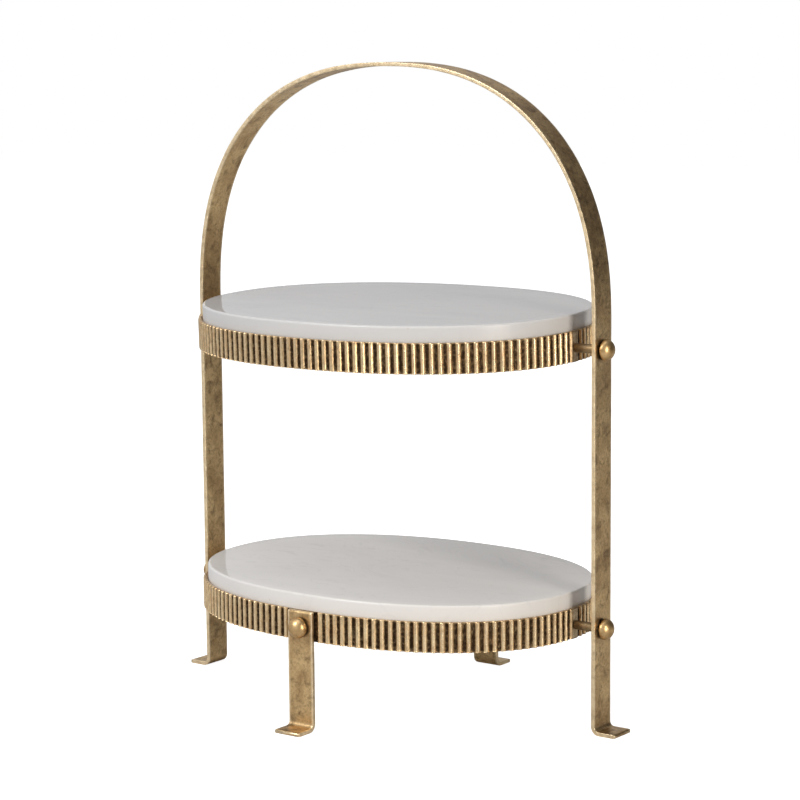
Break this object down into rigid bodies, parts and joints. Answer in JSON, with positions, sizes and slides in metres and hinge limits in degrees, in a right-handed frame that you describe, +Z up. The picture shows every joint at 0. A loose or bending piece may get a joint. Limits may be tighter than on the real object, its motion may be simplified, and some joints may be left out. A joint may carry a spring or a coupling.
{
  "type": "tiered cake stand",
  "caption": "Two-tier oval cake stand: marble slabs drop into ribbed brass bands bolted to a tall brass strap arch with outward feet.",
  "frame": {"origin": "on the floor, under the middle of the arch and of both ovals", "axes": "+Z up, X across the arch and along the ovals, -Y the front"},
  "size_m": [0.3604, 0.2454, 0.433],
  "materials": {
    "antique_brass": "antique brass strip, mottled brown patina on the faces and bright worn edges",
    "ribbed_brass": "cast brass, bright worn ribs and dark pitted grooves",
    "polished_brass": "smooth domed heads, polished with brown patina at the rim",
    "plain_brass": "plain brass, dull, inside the bands",
    "white_marble": "polished white marble with faint grey veins, opaque"
  },
  "bodies": {
    "stand": {"arch_strap": "antique_brass", "lower_band": "ribbed_brass", "lower_ledge": "plain_brass", "front_leg": "antique_brass", "rear_leg": "antique_brass", "upper_band": "ribbed_brass", "upper_ledge": "plain_brass", "lower_left_bolt": "polished_brass", "lower_left_spacer": "antique_brass", "lower_left_nut": "plain_brass", "lower_right_bolt": "polished_brass", "lower_right_spacer": "antique_brass", "lower_right_nut": "plain_brass", "upper_left_bolt": "polished_brass", "upper_left_spacer": "antique_brass", "upper_left_nut": "plain_brass", "upper_right_bolt": "polished_brass", "upper_right_spacer": "antique_brass", "upper_right_nut": "plain_brass", "front_leg_bolt": "polished_brass", "front_leg_nut": "plain_brass", "rear_leg_bolt": "polished_brass", "rear_leg_nut": "plain_brass"},
    "lower_slab_body": {"lower_slab": "white_marble"},
    "upper_slab_body": {"upper_slab": "white_marble"}
  },
  "joints": [
    {"name": "lower_slab_lift", "type": "slide", "parent": "stand", "child": "lower_slab_body", "axis": [0, 0, 1], "range_m": [0, 0.06]},
    {"name": "upper_slab_lift", "type": "slide", "parent": "stand", "child": "upper_slab_body", "axis": [0, -0.0314, 0.9995], "range_m": [0, 0.06]}
  ]
}
